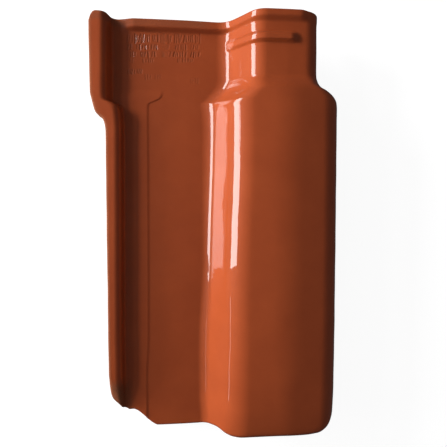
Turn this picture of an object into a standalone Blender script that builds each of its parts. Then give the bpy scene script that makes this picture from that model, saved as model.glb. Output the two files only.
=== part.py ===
"""Glazed interlocking clay roof tile: side rib, flat pan and one raised roll with a narrower head."""
import bpy
import math

# Driving dimensions in millimetres and degrees: x across, y towards the head, z up from the pan's face
MM = 0.001
FOOT_Y = -215.0
HEAD_Y = 215.0
PAN_LEVEL = 21.0
THICK = 11.0
X_SHIFT = -1.05
Y_SHIFT = -0.4
RIB_HEAD_X = -125.4
RIB_BODY_X = -111.1
RIB_DRIFT = 3.1
RIB_TOP = 12.8
RIB_TOP_HEAD = 14.6
SHELF = 0.6
WALL_X = 127.5
WALL_HEAD_X = 104.9
WALL_Z = 37.2
LIP_Z = 2.8
CREST_X = 71.0
CREST_Z = 42.5
CREST_TILT = 5.6
HEAD_TOP = 34.0
SLOPE_LOW = 6.0
SLOPE_HIGH = 21.5
TOE_Z = 3.2
HEEL_TILT = 24.0
BEAD = 4.8
NIB_DROP = 10.0

# Rows along the tile: foot edge, plain body, the jogs, the two beads and the head edge
ROWS = ([-215, -214.7, -214, -212.8, -211, -208.8, -203, -195, -186, -176, -163, -150, -90, -20, 95]
        + [103, 107, 111, 114, 117, 120, 124, 127, 130, 133, 136, 139, 142, 145, 148, 151, 155, 160]
        + [184.8, 186.7, 188.6, 192.6, 194.8, 197, 203.5, 205.2, 206.8, 208.4, 210, 213.4, 214.6, 215])


def along(t, *knots):
    """Value at t of a smooth curve through (t, value) knots, without overshoot."""
    if t <= knots[0][0]:
        return knots[0][1]
    if t >= knots[-1][0]:
        return knots[-1][1]
    n = len(knots)
    step = [knots[i + 1][0] - knots[i][0] for i in range(n - 1)]
    rate = [(knots[i + 1][1] - knots[i][1]) / step[i] for i in range(n - 1)]
    slope = [0.0] * n
    for i in range(1, n - 1):
        if rate[i - 1] * rate[i] > 0:
            slope[i] = 2.0 * rate[i - 1] * rate[i] / (rate[i - 1] + rate[i])
    for i in range(n - 1):
        if t <= knots[i + 1][0]:
            u = (t - knots[i][0]) / step[i]
            a = (1 + 2 * u) * (1 - u) ** 2 * knots[i][1] + u * u * (3 - 2 * u) * knots[i + 1][1]
            return a + step[i] * (u * (1 - u) ** 2 * slope[i] - u * u * (1 - u) * slope[i + 1])


def rounded(points):
    """Polyline through (x, z, radius, count) corners; each corner gives count points of its arc."""
    out, cut = [], 0.0
    for i, (x, z, radius, count) in enumerate(points):
        if count == 1:
            out.append((x, z))
            cut = 0.0
            continue
        ax, az = points[i - 1][0] - x, points[i - 1][1] - z
        bx, bz = points[i + 1][0] - x, points[i + 1][1] - z
        la, lb = math.hypot(ax, az), math.hypot(bx, bz)
        ax, az, bx, bz = ax / la, az / la, bx / lb, bz / lb
        half = 0.5 * math.acos(max(-1.0, min(1.0, ax * bx + az * bz)))
        cut = min(radius / math.tan(half), 0.98 * la - cut, 0.98 * lb)
        radius = cut * math.tan(half)
        mx, mz = ax + bx, az + bz
        lm = math.hypot(mx, mz)
        reach = radius / math.sin(half)
        cx, cz = x + mx / lm * reach, z + mz / lm * reach
        start = math.atan2(z + az * cut - cz, x + ax * cut - cx)
        turn = math.atan2(z + bz * cut - cz, x + bx * cut - cx) - start
        turn = (turn + math.pi) % (2 * math.pi) - math.pi
        for k in range(count):
            a = start + turn * k / (count - 1)
            out.append((cx + radius * math.cos(a), cz + radius * math.sin(a)))
    return out


def inset(x, z, tilt_before, tilt_after):
    """Corner of the underside below an upper corner, one wall thickness in from both its sides."""
    middle = 0.5 * (tilt_before + tilt_after)
    reach = THICK / math.cos(0.5 * (tilt_before - tilt_after))
    return x + reach * math.sin(middle), z - reach * math.cos(middle)


def section(y):
    """Upper and under outline of the cross-section at y, the same number of points in each."""
    head = along(y, (128, 0.0), (150, 1.0))
    drift = RIB_DRIFT * max(0.0, min(1.0, (100 - y) / 215.0))
    outer = along(y, (101, RIB_BODY_X), (106, -111.5), (111, -112.7), (115.6, -115.6), (119, -120.2),
                  (123, -121.7), (132, -123.9), (140, RIB_HEAD_X)) - drift * 0.42
    inner = along(y, (107, -96.9), (113.6, -97.2), (123.5, -98.3), (128.5, -102.3), (130, -106.6),
                  (133, -110.6), (138, -111.2), (165, -110.4), (190, -109.7), (215, -109.1)) - drift
    rib = along(y, (-215, 6.5), (-190, 9.3), (-150, RIB_TOP), (100, RIB_TOP), (140, RIB_TOP_HEAD))
    base = inner + along(y, (120, 3.3), (135, 6.6), (215, 5.0))
    shelf = along(y, (138, SHELF), (147, 0.02))
    step = along(y, (-164, -75.2), (-120, -72.9), (73, -70.8), (128, -70.4), (131.2, -69.4),
                 (133.2, -65.6), (134.8, -61.4), (137, -57.9), (139.6, -56), (144, -55.6), (150, -56))
    fade = step + along(y, (141, 2.4), (150, 9.0))
    low_x = along(y, (-215, -6.5), (-180, -8.0), (-121, -7.6), (-75, -5.0), (-47, -3.4), (-12, -2.4),
                  (30, -1.0), (73, 0.3), (100, 0.9), (115, 1.0), (123, 0.8), (127, 0.2), (131, -0.2),
                  (135, 4.0), (139, 7.9), (151, 15.8), (156, 17.1))
    high_x = along(y, (-215, 4.2), (-180, 4.8), (-121, 5.9), (-75, 6.3), (-47, 6.8), (-12, 7.9),
                   (30, 9.5), (73, 10.6), (100, 11.1), (123, 11.1), (127, 10.6), (130, 11.3), (133, 14.0),
                   (137, 18.2), (142, 23.5), (150.5, 28.7), (156, 30.2))
    lean = math.atan2(SLOPE_HIGH - SLOPE_LOW, high_x - low_x)
    toe = low_x - (SLOPE_LOW - TOE_Z) / math.tan(lean)
    heel_tilt = along(y, (-60, HEEL_TILT + 4), (30, HEEL_TILT), (112, 19.5), (140, 17.0), (152, 22.0))
    heel = toe - TOE_Z / math.tan(math.radians(heel_tilt))
    heel_bend = along(y, (-60, 11.0), (30, 17.0), (112, 22.0))
    toe_bend = along(y, (80, 13.5), (130, 20.0), (150, 17.5))
    wall = along(y, (122, WALL_X), (129.5, 126.8), (135, 123.3), (140.4, 116.0), (143.8, 109.6),
                 (148.2, 106.6), (157.6, 105.0), (165, WALL_HEAD_X))
    top = along(y, (140, 0.0), (155, 1.0))
    fall = along(y, (-215, 4.2), (-150, 1.8), (-95, 0.3), (-50, 0.0))
    crest_z = CREST_Z - fall + (HEAD_TOP + 0.4 - CREST_Z) * top
    corner_z = WALL_Z - 0.4 * fall + (HEAD_TOP - WALL_Z) * top
    arch = along(y, (-215, 0.4), (-100, 1.0))
    crest_tilt = math.radians(CREST_TILT * arch * (1 - top) + 0.8 * top)
    rise = math.tan(crest_tilt)
    shoulder = (crest_z - CREST_X * rise - SLOPE_LOW + low_x * math.tan(lean)) / (math.tan(lean) - rise)
    shoulder_z = crest_z - (CREST_X - shoulder) * rise
    low = -THICK
    upper = rounded([
        (outer, low + 3, 0, 1), (outer, rib, 2.4, 4), (inner, rib, 8, 5), (base, shelf, 3.5, 4),
        *[(base + d, shelf, 0, 1) for d in (4, 7.5, 10.5, 15, 21)], (step, shelf, 0, 1), (fade, 0, 0, 1),
        *[(fade + (heel - 8 - fade) * f, 0, 0, 1) for f in (0.08, 0.22, 0.6)], (heel, 0, heel_bend, 4),
        (toe, TOE_Z, toe_bend, 5), (shoulder, shoulder_z, 35 - 13 * head, 8), (CREST_X, crest_z, 168, 7),
        (wall, corner_z, 22.5 - 6.5 * head, 8), (wall, LIP_Z + 2.2, 0, 1), (wall - 2.2, LIP_Z, 0, 1)])
    flat = [(max(x, outer + 3 + 0.5 * k), low, 0, 1) for k, (x, z) in enumerate(upper[:24])]
    under_foot = inset(low_x - SLOPE_LOW / math.tan(lean), 0.0, 0.0, lean)
    under_shoulder = inset(shoulder, shoulder_z, lean, crest_tilt)
    under = rounded(flat + [
        (*under_foot, 18 - 4 * head, 9), (*under_shoulder, 26 - 16 * head, 8),
        (CREST_X, crest_z - THICK, 150, 7),
        (wall - THICK, corner_z - THICK, 11 - 3 * head, 8), (wall - THICK, LIP_Z + 1.6, 0, 1),
        (wall - THICK + 1.6, LIP_Z, 0, 1)])
    return upper, under


def row_y(x, y):
    """Place of a row at x: the foot's left and right corners and the rib's head end are rounded."""
    if y < -150:
        end = along(x, (-112.6, -170.5), (-111, -176.5), (-109, -181.2), (-103, -187.4), (-97, -193.4),
                    (-92.7, -196.6), (-89.2, -196.4), (-85.8, -197.5), (-78.4, -203.5), (-69, -212.8),
                    (-63, -215.8), (-20, -216.3), (-9, -215.4), (0, -213.6), (8, -215.9), (14, -217.3),
                    (20, -217.6), (32, -217.0), (60, -216.7), (93, -217.7), (105.9, -216.7),
                    (113, -214.6), (118.5, -211.5), (122.5, -207), (125, -203.5), (127, -198))
        return -150 + (y + 150) * (end + 150) / (FOOT_Y + 150)
    if y > 200:
        end = along(x, (-125.5, 209.5), (-124, 212), (-122.6, 215.5), (-120.8, 217.6), (-117.8, 218.7),
                    (-113, 218.5), (-108, 218.4), (-105.5, 217.9), (-102, 217.2), (-98, 216.6),
                    (-40, 216.4), (6, 215.6), (20, 215.3), (40, 216.3))
        return 200 + (y - 200) * (end - 200) / (HEAD_Y - 200)
    return y


def bead_height(x, y):
    """Height of the two raised beads across the head; the second is on the roll only."""
    across = along(x, (-100, 0.0), (-80, 1.0), (84, 1.0), (92, 0.4), (100, 0.25))
    edge = along(y - along(x, (0, 0.0), (40, 1.6)), (203.5, 0.0), (208.4, 1.0)) * across
    on_roll = along(x, (12.5, 0.0), (19, 1.0), (75.5, 1.0), (82.5, 0.0))
    second = along(y, (184.8, 0.0), (188.6, 1.0)) - along(y, (192.6, 0.0), (197, 1.0))
    return BEAD * (edge + 0.9 * second * on_roll)


def edge_round(x, y):
    """How far the face falls back where it turns over the foot and head edges."""
    radius = along(x, (-70, 3.0), (-60, 2.2), (-10, 2.6), (14, 4.5)) if y < 0 else 1.4
    near = max(0.0, radius - min(y - FOOT_Y, HEAD_Y - y))
    return radius - math.sqrt(max(0.0, radius * radius - near * near))


def foot_dip(x, y):
    """How far the roll's top bends down over its last stretch before the foot."""
    return along(y, (-215, 2.6), (-207, 1.3), (-196, 0.4), (-184, 0.0)) * along(x, (0, 0.0), (20, 1.0))


def surface_row(y):
    """Ring of points of one row: over the upper face and back along the underside."""
    upper, under = section(y)
    ring = []
    last = len(upper) - 1
    for i, (x, z) in enumerate(upper):
        ax, az = upper[max(0, i - 1)]
        bx, bz = upper[min(last, i + 1)]
        length = math.hypot(bx - ax, bz - az)
        nx, nz = (az - bz) / length, (bx - ax) / length
        fall = edge_round(x, y)
        if z > -5 and 0 < i < last - 1:
            z += bead_height(x, y) - foot_dip(x, y)
        ring.append(((x - nx * fall + X_SHIFT) * MM, (row_y(x, y) + Y_SHIFT) * MM,
                     (z - nz * fall + PAN_LEVEL) * MM))
    for x, z in reversed(under):
        ring.append(((x + X_SHIFT) * MM, (row_y(x, y) + Y_SHIFT) * MM, (z + PAN_LEVEL) * MM))
    return ring, len(upper)


def make_object(name, verts, faces):
    mesh = bpy.data.meshes.new(name)
    mesh.from_pydata(verts, [], faces)
    mesh.validate()
    mesh.update()
    obj = bpy.data.objects.new(name, mesh)
    bpy.context.scene.collection.objects.link(obj)
    return obj


def tile_body():
    """Loft of the section rings, closed at the foot and the head."""
    verts, faces = [], []
    for y in ROWS:
        ring, half = surface_row(y)
        verts += ring
    size = 2 * half
    for r in range(len(ROWS) - 1):
        for i in range(size):
            j = (i + 1) % size
            a, b = r * size, (r + 1) * size
            faces.append((a + i, a + j, b + j, b + i))
    for start, flip in ((0, False), ((len(ROWS) - 1) * size, True)):
        for i in range(half - 1):
            quad = (start + i, start + size - 1 - i, start + size - 2 - i, start + i + 1)
            faces.append(tuple(reversed(quad)) if flip else quad)
    return make_object("roof_tile", verts, faces)


def block(name, x0, x1, y0, y1, top, taper_x, taper_y):
    """Foot with a flat upright face at y0, drawn in on its other sides towards the bottom."""
    z0, z1 = PAN_LEVEL - THICK - NIB_DROP, PAN_LEVEL + top
    verts = [((x + X_SHIFT) * MM, (y + Y_SHIFT) * MM, z * MM) for x, y, z in [
        (x0 + taper_x, y0, z0), (x1 - taper_x, y0, z0), (x1 - taper_x, y1 - taper_y, z0),
        (x0 + taper_x, y1 - taper_y, z0), (x0, y0, z1), (x1, y0, z1), (x1, y1, z1), (x0, y1, z1)]]
    faces = [(0, 3, 2, 1), (4, 5, 6, 7), (0, 1, 5, 4), (1, 2, 6, 5), (2, 3, 7, 6), (3, 0, 4, 7)]
    return make_object(name, verts, faces)


def join(body, tool):
    """Weld a foot to the tile and drop the loose copy."""
    mod = body.modifiers.new("join", 'BOOLEAN')
    mod.operation, mod.solver, mod.object = 'UNION', 'EXACT', tool
    bpy.context.view_layer.objects.active = body
    bpy.ops.object.modifier_apply(modifier=mod.name)
    bpy.data.objects.remove(tool)


def glaze():
    mat = bpy.data.materials.new("orange_glaze")
    mat.use_nodes = True
    shader = mat.node_tree.nodes["Principled BSDF"]
    shader.inputs["Base Color"].default_value = (0.25, 0.045, 0.012, 1.0)
    shader.inputs["Roughness"].default_value = 0.16
    shader.inputs["Coat Weight"].default_value = 1.0
    shader.inputs["Coat Roughness"].default_value = 0.06
    return mat


for old in list(bpy.data.objects):
    bpy.data.objects.remove(old)

tile = tile_body()
join(tile, block("pan_nib", -86, -58, 176, 194, -THICK + 4, 1.5, 5))
join(tile, block("roll_nib", 50, 82, 176, 200, 27, 6, 9))
join(tile, block("foot_bar", -66, -12, -206, -195, -THICK + 4, 2, 2))
tile.data.materials.clear()
tile.data.materials.append(glaze())
for poly in tile.data.polygons:
    poly.use_smooth = False
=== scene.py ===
"""Looks of the glazed roof tile: one finely lofted piece in place of the plain solid, with glaze and light."""
import bpy
import bmesh
import math
import random
from mathutils import Matrix, Vector


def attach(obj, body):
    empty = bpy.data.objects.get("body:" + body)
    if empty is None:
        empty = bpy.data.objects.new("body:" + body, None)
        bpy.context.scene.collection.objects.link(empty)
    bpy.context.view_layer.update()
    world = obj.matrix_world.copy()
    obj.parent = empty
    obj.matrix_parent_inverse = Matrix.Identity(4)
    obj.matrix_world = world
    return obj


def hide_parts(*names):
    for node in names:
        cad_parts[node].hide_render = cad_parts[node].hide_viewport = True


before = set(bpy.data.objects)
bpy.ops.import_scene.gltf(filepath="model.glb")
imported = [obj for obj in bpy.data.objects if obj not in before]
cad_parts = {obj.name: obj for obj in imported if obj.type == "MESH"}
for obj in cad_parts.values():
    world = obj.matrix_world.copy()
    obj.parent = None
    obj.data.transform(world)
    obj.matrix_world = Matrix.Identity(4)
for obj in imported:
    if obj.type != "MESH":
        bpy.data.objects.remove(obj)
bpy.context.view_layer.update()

# Sizes in millimetres, as in the solid: x across, y towards the head, z up from the pan's face
MM = 0.001
FOOT_Y = -215.0
HEAD_Y = 215.0
PAN_LEVEL = 21.0
THICK = 11.0
X_SHIFT = -1.05
Y_SHIFT = -0.4
RIB_HEAD_X = -125.4
RIB_BODY_X = -111.1
RIB_DRIFT = 3.1
RIB_TOP = 12.8
RIB_TOP_HEAD = 14.6
SHELF = 0.6
WALL_X = 127.5
WALL_HEAD_X = 104.9
WALL_Z = 37.2
LIP_Z = 2.8
CREST_X = 71.0
CREST_Z = 42.5
CREST_TILT = 5.6
HEAD_TOP = 34.0
SLOPE_LOW = 6.0
SLOPE_HIGH = 21.5
TOE_Z = 3.2
HEEL_TILT = 24.0
BEAD = 4.8
NIB_DROP = 10.0

# Part of the pan that takes the strokes: from x, to x, from y, to y; and how much its rows rise per millimetre
FIELD = (-90.0, -12.0, 151.0, 205.0)
ROW_RISE = 0.029
# Depth at which a stroke's groove gets its full painted shade, and how much glaze share is taken there: the
# groove is painted darker towards the clay colour, with less coat
GROOVE_SHADE_DEPTH = 0.25
GROOVE_SHADE_SHARE = 0.35

# Rows of pressed strokes: middle y, height, and runs of (from x, to x, depth)
STROKE_ROWS = (
    (197.3, 9.0, ((-88.6, -83, 0.15), (-81, -72, 0.46), (-70, -64, 0.34), (-62.5, -51.5, 0.42),
                  (-49, -43, 0.34), (-40, -32, 0.36), (-30, -20, 0.36), (-18, -13, 0.3))),
    (188.7, 4.8, ((-88.6, -82.5, 0.3), (-79, -66, 0.4), (-64, -57, 0.35), (-53, -44, 0.28),
                  (-39, -28, 0.26), (-23, -15, 0.22))),
    (181.2, 5.6, ((-85.5, -78.5, 0.34), (-75, -66, 0.4), (-63.5, -59, 0.32), (-53, -43, 0.3),
                  (-41, -27, 0.36), (-23, -14, 0.36))),
    (175.0, 3.4, ((-86.5, -82.5, 0.2), (-73, -61, 0.36), (-37, -20, 0.24))),
    (163.8, 4.0, ((-88.6, -81, 0.36), (-79, -74, 0.3))),
    (158.0, 6.0, ((-71, -65, 0.2), (-60.5, -55, 0.16))),
    (154.0, 5.0, ((-23.5, -16, 0.14),)))

# Lights, in metres: the plane on the left in which most of them stand, and the strips in it as
# (name, from y, to y, from z, to z, radiance); the tile mirrors the first two and is lit by the others
LIGHT_PLANE_X = -1.0
MIRRORED = (("panel", -0.19, 1.3, 0.276, 0.806, 12.5), ("sill", -0.68, -0.3, 0.285, 0.325, 4.0))
STRIPS = (
    ("near_low", -0.23, 0.25, 0.071, 0.138, 112), ("near_mid", -0.23, 0.25, 0.206, 0.276, 57),
    ("left_low", 0.25, 0.75, 0.071, 0.138, 17), ("left_mid", 0.25, 0.75, 0.276, 0.464, 36),
    ("left_high", 0.25, 0.75, 0.464, 0.569, 82), ("left_top", 0.25, 0.75, 0.686, 0.818, 16.6),
    ("head_mid", 0.75, 1.35, 0.367, 0.464, 16.7))
# Weak wide fills: (name, place, facing, width, height, radiance)
FILLS = (
    ("right", (1.2, 0, 0.6), (-1, 0, -0.4), 1.6, 0.8, 0.71),
    ("top", (0, 0, 1.6), (0, 0, -1), 2, 2, 0.12),
    ("top_left", (-0.7, 0, 1.2), (0.7, 0, -1.2), 1, 1, 0.8))

# Camera: place in millimetres, turns in degrees, focal length and frame in pixels
CAMERA_PLACE = (-33.0, 28.68, 435.56)
CAMERA_TURN = (-3.083, -5.647, -0.222)
FOCAL = 404.7
FRAME = 447.0
SENSOR = 36.0


def along(t, *knots):
    """Value at t of a smooth curve through (t, value) knots, without overshoot."""
    if t <= knots[0][0]:
        return knots[0][1]
    if t >= knots[-1][0]:
        return knots[-1][1]
    n = len(knots)
    step = [knots[i + 1][0] - knots[i][0] for i in range(n - 1)]
    rate = [(knots[i + 1][1] - knots[i][1]) / step[i] for i in range(n - 1)]
    slope = [0.0] * n
    for i in range(1, n - 1):
        if rate[i - 1] * rate[i] > 0:
            slope[i] = 2.0 * rate[i - 1] * rate[i] / (rate[i - 1] + rate[i])
    for i in range(n - 1):
        if t <= knots[i + 1][0]:
            u = (t - knots[i][0]) / step[i]
            a = (1 + 2 * u) * (1 - u) ** 2 * knots[i][1] + u * u * (3 - 2 * u) * knots[i + 1][1]
            return a + step[i] * (u * (1 - u) ** 2 * slope[i] - u * u * (1 - u) * slope[i + 1])


def rounded(corners):
    """Outline through (x, z, radius, arc points, run points) corners, each run leading to the next corner."""
    arcs, cut = [], 0.0
    for i, (x, z, radius, count, run) in enumerate(corners):
        if count == 1:
            arcs.append([(x, z)])
            cut = 0.0
            continue
        ax, az = corners[i - 1][0] - x, corners[i - 1][1] - z
        bx, bz = corners[i + 1][0] - x, corners[i + 1][1] - z
        la, lb = math.hypot(ax, az), math.hypot(bx, bz)
        ax, az, bx, bz = ax / la, az / la, bx / lb, bz / lb
        half = 0.5 * math.acos(max(-1.0, min(1.0, ax * bx + az * bz)))
        cut = min(radius / math.tan(half), 0.98 * la - cut, 0.98 * lb)
        radius = cut * math.tan(half)
        mx, mz = ax + bx, az + bz
        lm = math.hypot(mx, mz)
        reach = radius / math.sin(half)
        cx, cz = x + mx / lm * reach, z + mz / lm * reach
        start = math.atan2(z + az * cut - cz, x + ax * cut - cx)
        turn = math.atan2(z + bz * cut - cz, x + bx * cut - cx) - start
        turn = (turn + math.pi) % (2 * math.pi) - math.pi
        arcs.append([(cx + radius * math.cos(start + turn * k / (count - 1)),
                      cz + radius * math.sin(start + turn * k / (count - 1))) for k in range(count)])
    out = []
    for i, arc in enumerate(arcs):
        out += arc
        run = corners[i][4]
        if i + 1 < len(arcs):
            (x0, z0), (x1, z1) = arc[-1], arcs[i + 1][0]
            out += [(x0 + (x1 - x0) * k / (run + 1), z0 + (z1 - z0) * k / (run + 1))
                    for k in range(1, run + 1)]
    return out


def inset(x, z, tilt_before, tilt_after):
    """Corner of the underside below an upper corner, one wall thickness in from both its sides."""
    middle = 0.5 * (tilt_before + tilt_after)
    reach = THICK / math.cos(0.5 * (tilt_before - tilt_after))
    return x + reach * math.sin(middle), z - reach * math.cos(middle)


def section(y):
    """Upper and under outline of the cross-section at y."""
    head = along(y, (128, 0.0), (150, 1.0))
    drift = RIB_DRIFT * max(0.0, min(1.0, (100 - y) / 215.0))
    outer = along(y, (101, RIB_BODY_X), (106, -111.5), (111, -112.7), (115.6, -115.6), (119, -120.2),
                  (123, -121.7), (132, -123.9), (140, RIB_HEAD_X)) - drift * 0.42
    inner = along(y, (107, -96.9), (113.6, -97.2), (123.5, -98.3), (128.5, -102.3), (130, -106.6),
                  (133, -110.6), (138, -111.2), (165, -110.4), (190, -109.7), (215, -109.1)) - drift
    rib = along(y, (-215, 6.5), (-190, 9.3), (-150, RIB_TOP), (100, RIB_TOP), (140, RIB_TOP_HEAD))
    base = inner + along(y, (120, 3.3), (135, 6.6), (215, 5.0))
    shelf = along(y, (138, SHELF), (147, 0.02))
    step = along(y, (-164, -75.2), (-120, -72.9), (73, -70.8), (128, -70.4), (131.2, -69.4), (133.2, -65.6),
                 (134.8, -61.4), (137, -57.9), (139.6, -56), (144, -55.6), (150, -56))
    fade = step + along(y, (141, 2.4), (150, 9.0))
    low_x = along(y, (-215, -6.5), (-180, -8.0), (-121, -7.6), (-75, -5.0), (-47, -3.4), (-12, -2.4),
                  (30, -1.0), (73, 0.3), (100, 0.9), (115, 1.0), (123, 0.8), (127, 0.2), (131, -0.2),
                  (135, 4.0), (139, 7.9), (151, 15.8), (156, 17.1))
    high_x = along(y, (-215, 4.2), (-180, 4.8), (-121, 5.9), (-75, 6.3), (-47, 6.8), (-12, 7.9),
                   (30, 9.5), (73, 10.6), (100, 11.1), (123, 11.1), (127, 10.6), (130, 11.3), (133, 14.0),
                   (137, 18.2), (142, 23.5), (150.5, 28.7), (156, 30.2))
    lean = math.atan2(SLOPE_HIGH - SLOPE_LOW, high_x - low_x)
    toe = low_x - (SLOPE_LOW - TOE_Z) / math.tan(lean)
    heel_tilt = along(y, (-60, HEEL_TILT + 4), (30, HEEL_TILT), (112, 19.5), (140, 17.0), (152, 22.0))
    heel = toe - TOE_Z / math.tan(math.radians(heel_tilt))
    heel_bend = along(y, (-60, 11.0), (30, 17.0), (112, 22.0))
    toe_bend = along(y, (80, 13.5), (130, 20.0), (150, 17.5))
    wall = along(y, (122, WALL_X), (129.5, 126.8), (135, 123.3), (140.4, 116.0), (143.8, 109.6),
                 (148.2, 106.6), (157.6, 105.0), (165, WALL_HEAD_X))
    top = along(y, (140, 0.0), (155, 1.0))
    fall = along(y, (-215, 4.2), (-150, 1.8), (-95, 0.3), (-50, 0.0))
    crest_z = CREST_Z - fall + (HEAD_TOP + 0.4 - CREST_Z) * top
    corner_z = WALL_Z - 0.4 * fall + (HEAD_TOP - WALL_Z) * top
    arch = along(y, (-215, 0.4), (-100, 1.0))
    crest_tilt = math.radians(CREST_TILT * arch * (1 - top) + 0.8 * top)
    rise = math.tan(crest_tilt)
    shoulder = (crest_z - CREST_X * rise - SLOPE_LOW + low_x * math.tan(lean)) / (math.tan(lean) - rise)
    shoulder_z = crest_z - (CREST_X - shoulder) * rise
    low = -THICK
    upper = rounded([
        (outer + 6, low, 0, 1, 1), (outer, low, 2.5, 5, 4), (outer, rib, 2.4, 9, 3), (inner, rib, 8, 12, 3),
        (base, shelf, 3.5, 7, 56), (step, shelf, 5, 5, 1), (fade, 0, 5, 5, 36), (heel, 0, heel_bend, 9, 1),
        (toe, TOE_Z, toe_bend, 10, 7), (shoulder, shoulder_z, 35 - 13 * head, 18, 6),
        (CREST_X, crest_z, 168, 14, 4), (wall, corner_z, 22.5 - 6.5 * head, 16, 5), (wall, LIP_Z, 2.2, 5, 1),
        (wall - 5, LIP_Z, 0, 1, 0)])
    under_foot = inset(low_x - SLOPE_LOW / math.tan(lean), 0.0, 0.0, lean)
    under_shoulder = inset(shoulder, shoulder_z, lean, crest_tilt)
    under = rounded([
        (outer + 6.5, low, 0, 1, 14), (*under_foot, 18 - 4 * head, 7, 2),
        (*under_shoulder, 26 - 16 * head, 8, 1), (CREST_X, crest_z - THICK, 150, 5, 1),
        (wall - THICK, corner_z - THICK, 11 - 3 * head, 7, 2), (wall - THICK, LIP_Z, 1.8, 4, 1),
        (wall - 5.5, LIP_Z, 0, 1, 0)])
    return upper, under


def row_y(x, y):
    """Place of a row at x: the foot's left and right corners and the rib's head end are rounded."""
    if y < -150:
        end = along(x, (-112.6, -170.5), (-111, -176.5), (-109, -181.2), (-103, -187.4), (-97, -193.4),
                    (-92.7, -196.6), (-89.2, -196.4), (-85.8, -197.5), (-78.4, -203.5), (-69, -212.8),
                    (-63, -215.8), (-20, -216.3), (-9, -215.4), (0, -213.6), (8, -215.9), (14, -217.3),
                    (20, -217.6), (32, -217.0), (60, -216.7), (93, -217.7), (105.9, -216.7),
                    (113, -214.6), (118.5, -211.5), (122.5, -207), (125, -203.5), (127, -198))
        return -150 + (y + 150) * (end + 150) / (FOOT_Y + 150)
    if y > 200:
        end = along(x, (-125.5, 209.5), (-124, 212), (-122.6, 215.5), (-120.8, 217.6), (-117.8, 218.7),
                    (-113, 218.5), (-108, 218.4), (-105.5, 217.9), (-102, 217.2), (-98, 216.6),
                    (-40, 216.4), (6, 215.6), (20, 215.3), (40, 216.3))
        return 200 + (y - 200) * (end - 200) / (HEAD_Y - 200)
    return y


def bead_height(x, y):
    """Height of the two raised beads across the head; the second is on the roll only."""
    across = along(x, (-100, 0.0), (-80, 1.0), (84, 1.0), (92, 0.4), (100, 0.25))
    edge = along(y - along(x, (0, 0.0), (40, 1.6)), (203.5, 0.0), (208.4, 1.0)) * across
    on_roll = along(x, (12.5, 0.0), (19, 1.0), (75.5, 1.0), (82.5, 0.0))
    second = along(y, (184.8, 0.0), (188.6, 1.0)) - along(y, (192.6, 0.0), (197, 1.0))
    return BEAD * (edge + 0.9 * second * on_roll)


def edge_round(x, y):
    """How far the face falls back where it turns over the foot and head edges."""
    radius = along(x, (-70, 3.0), (-60, 2.2), (-10, 2.6), (14, 4.5)) if y < 0 else 1.4
    near = max(0.0, radius - min(y - FOOT_Y, HEAD_Y - y))
    return radius - math.sqrt(max(0.0, radius * radius - near * near))


def foot_dip(x, y):
    """How far the roll's top bends down over its last stretch before the foot."""
    return along(y, (-215, 2.6), (-207, 1.3), (-196, 0.4), (-184, 0.0)) * along(x, (0, 0.0), (20, 1.0))


def row_places():
    """Rows along the tile, close where its shape changes and wide on the plain body."""
    places = [FOOT_Y, -214.9, -214.6, -214.1, -213.4, -212.5, -211.5, -210.2, -209]
    y = -209.0
    while y < HEAD_Y - 2.4:
        y += 1.9 if y < -150 else 4.6 if y < 92 else 1.2 if y < 150 else 1.0 if y < 182 else 0.9
        places.append(min(y, HEAD_Y - 1.9))
    return sorted(set(places + [HEAD_Y - d for d in (1.4, 0.95, 0.55, 0.25, 0.06, 0)]))


def swell(x, y):
    """Slight unevenness of a pressed and fired face."""
    return (0.055 * math.sin(x / 9.0 + 0.8) * math.sin(y / 13.0 + x / 40.0)
            + 0.07 * math.sin(y / 23.0 + 1.3) * math.cos(x / 17.0) + 0.05 * math.sin(y / 6.1 + x / 11.0))


def glaze_share(i, last, x, y):
    """How glazed a point of the upper outline is: bare at the outer sides and the two ends; darker at the
    rib's foot corner and, by half, on the head bead's top, with the bare clay's colour and less coat there."""
    across = along(i, (17.5, 0.0), (20, 1.0)) * along(i, (last - 6, 1.0), (last - 3, 0.0))
    # The rib's foot corner and the head bead's top are made darker here: mixed towards the bare clay's colour,
    # with less coat
    rib_foot_darker = along(x, (-100, 1.0), (-86, 0.0)) * along(y, (-186, 1.0), (-160, 0.0))
    bead_top_darker = 0.5 * along(x, (-14, 1.0), (2, 0.0)) * along(y, (206.5, 0.0), (210, 1.0))
    ends = along(y, (FOOT_Y + 0.4, 0.0), (FOOT_Y + 1.6, 1.0)) * along(y, (HEAD_Y - 0.55, 1.0), (HEAD_Y, 0.0))
    return across * ends * (1 - rib_foot_darker) * (1 - bead_top_darker)


def placed(x, y, z):
    """Place in metres of a point given in millimetres, with z counted from the pan's face."""
    return (x + X_SHIFT) * MM, (y + Y_SHIFT) * MM, (z + PAN_LEVEL) * MM


def tile_mesh():
    """Loft of the upper face and underside, with closed foot and head ends."""
    verts, faces, glaze, lengths = [], [], [], None
    rows = row_places()
    for y in rows:
        upper, under = section(y)
        last = len(upper) - 1
        for i, (x, z) in enumerate(upper):
            ax, az = upper[max(0, i - 1)]
            bx, bz = upper[min(last, i + 1)]
            length = math.hypot(bx - ax, bz - az)
            nx, nz = (az - bz) / length, (bx - ax) / length
            glazed = 6 < i < last - 6
            lift = swell(x, y) - edge_round(x, y) if glazed else 0.0
            if z > -5 and glazed:
                z += bead_height(x, y) - foot_dip(x, y)
            verts.append(placed(x + nx * lift, row_y(x, y), z + nz * lift))
            glaze.append(glaze_share(i, last, x, y))
        for x, z in reversed(under):
            verts.append(placed(x, row_y(x, y), z))
            glaze.append(0.0)
        lengths = (len(upper), len(under))
    size = sum(lengths)
    for r in range(len(rows) - 1):
        a, b = r * size, (r + 1) * size
        for i in range(size):
            j = (i + 1) % size
            faces.append((a + i, a + j, b + j, b + i))
    for start, flip in ((0, False), ((len(rows) - 1) * size, True)):
        for tri in end_strip(verts, start, lengths):
            faces.append(tuple(reversed(tri)) if flip else tri)
    return verts, faces, glaze


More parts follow.
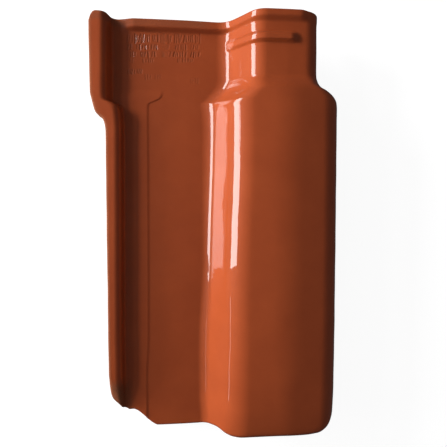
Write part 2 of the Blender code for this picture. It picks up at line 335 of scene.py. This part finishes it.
def end_strip(verts, start, lengths):
    """Triangles between the upper and the under outline of an end, matched by how far along each point is."""
    upper = [start + i for i in range(lengths[0])]
    under = [start + sum(lengths) - 1 - i for i in range(lengths[1])]
    tris = []
    i = j = 0
    while i < len(upper) - 1 or j < len(under) - 1:
        if j == len(under) - 1:
            ahead = True
        elif i == len(upper) - 1:
            ahead = False
        else:
            ahead = (Vector(verts[upper[i + 1]]) - Vector(verts[under[j]])).length <= \
                    (Vector(verts[upper[i]]) - Vector(verts[under[j + 1]])).length
        if ahead:
            tris.append((upper[i], under[j], upper[i + 1]))
            i += 1
        else:
            tris.append((upper[i], under[j], under[j + 1]))
            j += 1
    return tris


def stroke_list():
    """Short pressed strokes in rows across the head of the pan: plain marks, no signs or letters."""
    rng = random.Random(11)
    strokes = []
    for middle, tall, runs in STROKE_ROWS:
        for x0, x1, deep in runs:
            x = x0
            while x < x1:
                half = 0.5 * tall * rng.uniform(0.55, 1.0)
                lean = rng.choice([0.0, 0.06, 0.12, -0.06, 0.18, 0.0, 0.24])
                y = middle + (x - STROKE_ROWS[0][2][0][0]) * ROW_RISE + rng.uniform(-0.3, 0.3)
                strokes.append((x - lean * half, y - half, x + lean * half, y + half,
                                deep * rng.uniform(0.6, 1.15), rng.uniform(0.75, 1.15)))
                x += rng.choice([1.9, 2.2, 2.6, 3.2])
    return strokes


def stroke_depth(x, y, strokes):
    """Depth of the deepest stroke at a point."""
    deepest = 0.0
    for x0, y0, x1, y1, deep, half in strokes:
        if abs(x - 0.5 * (x0 + x1)) > 5 or not min(y0, y1) - 2 < y < max(y0, y1) + 2:
            continue
        dx, dy = x1 - x0, y1 - y0
        t = max(0.0, min(1.0, ((x - x0) * dx + (y - y0) * dy) / (dx * dx + dy * dy)))
        d = math.hypot(x - x0 - t * dx, y - y0 - t * dy) / half
        if d < 1.4:
            deepest = max(deepest, deep * 0.5 * (1 + math.cos(math.pi * d / 1.4)))
    return deepest


def press_strokes(bm):
    """Split the faces of the field once more, press the strokes into them and paint shade into their grooves
    by taking away glaze share.
    """
    x0, x1 = ((v + X_SHIFT) * MM for v in FIELD[:2])
    y0, y1 = ((v + Y_SHIFT) * MM for v in FIELD[2:])
    picked = [f for f in bm.faces if f.normal.z > 0.9 and f.calc_center_median().z < 0.024
              and x0 < f.calc_center_median().x < x1 and y0 < f.calc_center_median().y < y1]
    edges = list({e for f in picked for e in f.edges})
    bmesh.ops.subdivide_edges(bm, edges=edges, cuts=2, use_grid_fill=True)
    strokes = stroke_list()
    glaze_and_groove_shade = bm.verts.layers.float["glazed"]
    for v in bm.verts:
        if x0 < v.co.x < x1 and y0 < v.co.y < y1 and 0.018 < v.co.z < 0.0245:
            depth = stroke_depth(v.co.x / MM - X_SHIFT, v.co.y / MM - Y_SHIFT, strokes)
            v.co.z -= depth * MM
            # Painted shade: the deeper the groove, the more it is mixed towards the darker clay colour, with
            # less coat
            v[glaze_and_groove_shade] *= 1.0 - GROOVE_SHADE_SHARE * min(1.0, depth / GROOVE_SHADE_DEPTH)


def soft_block(bm, x0, x1, y0, y1, top, taper_x, taper_y):
    """Nib or bar under the tile, narrowing downwards, with its edges rounded."""
    z0, z1 = -THICK - NIB_DROP, top
    corners = [(x0 + taper_x, y0, z0), (x1 - taper_x, y0, z0), (x1 - taper_x, y1 - taper_y, z0),
               (x0 + taper_x, y1 - taper_y, z0), (x0, y0, z1), (x1, y0, z1), (x1, y1, z1), (x0, y1, z1)]
    vs = [bm.verts.new(placed(x, y, z)) for x, y, z in corners]
    fs = [bm.faces.new([vs[i] for i in f]) for f in
          [(0, 3, 2, 1), (4, 5, 6, 7), (0, 1, 5, 4), (1, 2, 6, 5), (2, 3, 7, 6), (3, 0, 4, 7)]]
    edges = [e for e in {e for f in fs for e in f.edges} if not all(v in vs[4:] for v in e.verts)]
    bmesh.ops.bevel(bm, geom=edges, offset=1.2 * MM, segments=3, profile=0.5, affect='EDGES')


def build_tile():
    """The whole tile as one piece: loft, strokes, two nibs and the bar."""
    verts, faces, glaze = tile_mesh()
    mesh = bpy.data.meshes.new("tile_glazed")
    mesh.from_pydata(verts, [], faces)
    mesh.attributes.new("glazed", 'FLOAT', 'POINT').data.foreach_set("value", glaze)
    bm = bmesh.new()
    bm.from_mesh(mesh)
    bm.normal_update()
    press_strokes(bm)
    soft_block(bm, -86, -58, 176, 194, -THICK + 4, 1.5, 5)
    soft_block(bm, 50, 82, 176, 200, 27, 6, 9)
    soft_block(bm, -66, -12, -206, -195, -THICK + 4, 2, 2)
    bmesh.ops.recalc_face_normals(bm, faces=bm.faces)
    for f in bm.faces:
        f.smooth = True
    bm.to_mesh(mesh)
    bm.free()
    mesh.set_sharp_from_angle(angle=math.radians(38))
    tile = bpy.data.objects.new("tile_glazed", mesh)
    bpy.context.scene.collection.objects.link(tile)
    return tile


def node(tree, kind, **inputs):
    """New shader node with some of its inputs set."""
    made = tree.nodes.new(kind)
    for key, value in inputs.items():
        made.inputs[key.replace("_", " ")].default_value = value
    return made


def ramp(tree, first, dark, second, light):
    """Colour ramp between two colours."""
    made = tree.nodes.new("ShaderNodeValToRGB")
    made.color_ramp.elements[0].position = first
    made.color_ramp.elements[0].color = dark
    made.color_ramp.elements[1].position = second
    made.color_ramp.elements[1].color = light
    return made


def glaze_material():
    """Clear glossy glaze over red-brown clay, turning to bare matt clay where the mesh's glazed mask says so;
    in the strokes' grooves that mask carries painted shade.
    """
    mat = bpy.data.materials.new("orange_glaze")
    mat.use_nodes = True
    tree = mat.node_tree
    shader = tree.nodes["Principled BSDF"]
    place = tree.nodes.new("ShaderNodeTexCoord")
    cloud = node(tree, "ShaderNodeTexNoise", Scale=26.0, Detail=5.0, Roughness=0.6)
    grain = node(tree, "ShaderNodeTexNoise", Scale=700.0, Detail=3.0)
    waves = node(tree, "ShaderNodeTexNoise", Scale=120.0, Detail=1.0)
    mask = tree.nodes.new("ShaderNodeAttribute")
    mask.attribute_name = "glazed"
    tone = ramp(tree, 0.3, (0.226, 0.040, 0.0105, 1), 0.72, (0.254, 0.047, 0.0125, 1))
    clay = ramp(tree, 0.35, (0.125, 0.037, 0.016, 1), 0.65, (0.165, 0.051, 0.023, 1))
    body = tree.nodes.new("ShaderNodeMix")
    body.data_type = 'RGBA'
    rough = node(tree, "ShaderNodeMapRange")
    rough.inputs["To Min"].default_value = 0.85
    rough.inputs["To Max"].default_value = 0.5
    low = node(tree, "ShaderNodeBump", Strength=1.0, Distance=0.00006)
    fine = node(tree, "ShaderNodeBump", Strength=0.06, Distance=0.0002)
    for noise in (cloud, grain, waves):
        tree.links.new(place.outputs["Object"], noise.inputs["Vector"])
    tree.links.new(cloud.outputs["Fac"], tone.inputs["Fac"])
    tree.links.new(grain.outputs["Fac"], clay.inputs["Fac"])
    tree.links.new(mask.outputs["Fac"], body.inputs[0])
    tree.links.new(clay.outputs["Color"], body.inputs[6])
    tree.links.new(tone.outputs["Color"], body.inputs[7])
    tree.links.new(body.outputs[2], shader.inputs["Base Color"])
    tree.links.new(mask.outputs["Fac"], rough.inputs["Value"])
    tree.links.new(rough.outputs["Result"], shader.inputs["Roughness"])
    tree.links.new(mask.outputs["Fac"], shader.inputs["Coat Weight"])
    tree.links.new(waves.outputs["Fac"], low.inputs["Height"])
    tree.links.new(grain.outputs["Fac"], fine.inputs["Height"])
    tree.links.new(low.outputs["Normal"], fine.inputs["Normal"])
    tree.links.new(fine.outputs["Normal"], shader.inputs["Normal"])
    tree.links.new(low.outputs["Normal"], shader.inputs["Coat Normal"])
    shader.inputs["Specular IOR Level"].default_value = 0.1
    shader.inputs["Coat Roughness"].default_value = 0.035
    shader.inputs["Coat IOR"].default_value = 1.5
    return mat


def area_light(name, place, facing, width, height, power):
    """Rectangular light that shines the way it faces."""
    data = bpy.data.lights.new(name, 'AREA')
    data.shape = 'RECTANGLE'
    data.size, data.size_y, data.energy = width, height, power
    light = bpy.data.objects.new(name, data)
    light.location = place
    light.rotation_euler = Vector(facing).to_track_quat('-Z', 'Y').to_euler()
    bpy.context.scene.collection.objects.link(light)
    return light


def strip_light(name, y0, y1, z0, z1, radiance):
    """Light in the plane on the left, between two places along it and two heights."""
    return area_light(name, (LIGHT_PLANE_X, 0.5 * (y0 + y1), 0.5 * (z0 + z1)), (1, 0, 0), y1 - y0, z1 - z0,
                      radiance * math.pi * (y1 - y0) * (z1 - z0))


def light_set():
    """Tall panel and low sill that the glaze mirrors, soft strips that light it, weak fills, dim surround."""
    for row in MIRRORED:
        strip_light(*row).visible_diffuse = False
    for row in STRIPS:
        strip_light(*row).visible_glossy = False
    for name, place, facing, width, height, radiance in FILLS:
        power = radiance * math.pi * width * height
        area_light(name, place, facing, width, height, power).visible_glossy = False
    world = bpy.data.worlds.new("surround")
    world.use_nodes = True
    world.node_tree.nodes["Background"].inputs["Color"].default_value = (1, 1, 1, 1)
    world.node_tree.nodes["Background"].inputs["Strength"].default_value = 0.05
    bpy.context.scene.world = world


def floor_piece():
    """Plain pale floor, evenly bright, that neither lights the tile nor shows in it."""
    mesh = bpy.data.meshes.new("floor")
    half = 2.5
    corners = [(-half, -half, 0), (half, -half, 0), (half, half, 0), (-half, half, 0)]
    mesh.from_pydata(corners, [], [(0, 1, 2, 3)])
    floor = bpy.data.objects.new("floor", mesh)
    bpy.context.scene.collection.objects.link(floor)
    mat = bpy.data.materials.new("pale_floor")
    mat.use_nodes = True
    shader = mat.node_tree.nodes["Principled BSDF"]
    shader.inputs["Base Color"].default_value = (0.16, 0.16, 0.16, 1)
    shader.inputs["Roughness"].default_value = 0.9
    shader.inputs["Specular IOR Level"].default_value = 0.0
    shader.inputs["Emission Color"].default_value = (1, 1, 1, 1)
    shader.inputs["Emission Strength"].default_value = 0.92
    mesh.materials.append(mat)
    floor.visible_diffuse = False
    floor.visible_glossy = False


def photo_camera():
    """Close camera above the tile, at the photograph's place and angle."""
    data = bpy.data.cameras.new("photo_camera")
    data.sensor_width = SENSOR
    data.lens = SENSOR * FOCAL / FRAME
    data.clip_start = 0.01
    camera = bpy.data.objects.new("photo_camera", data)
    around_x, around_y, around_z = (math.radians(angle) for angle in CAMERA_TURN)
    turn = (Matrix.Rotation(around_z, 4, 'Z') @ Matrix.Rotation(around_y, 4, 'Y')
            @ Matrix.Rotation(around_x, 4, 'X'))
    x, y, z = CAMERA_PLACE
    place = Vector((x + X_SHIFT, y + Y_SHIFT, z + PAN_LEVEL)) * MM
    camera.matrix_world = Matrix.Translation(place) @ turn
    bpy.context.scene.collection.objects.link(camera)
    bpy.context.scene.camera = camera


tile = build_tile()
tile.data.materials.append(glaze_material())
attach(tile, "root")
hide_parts("roof_tile")
floor_piece()
light_set()
photo_camera()
bpy.context.scene.view_settings.view_transform = 'Standard'
print("triangles", sum(len(p.vertices) - 2 for p in tile.data.polygons))
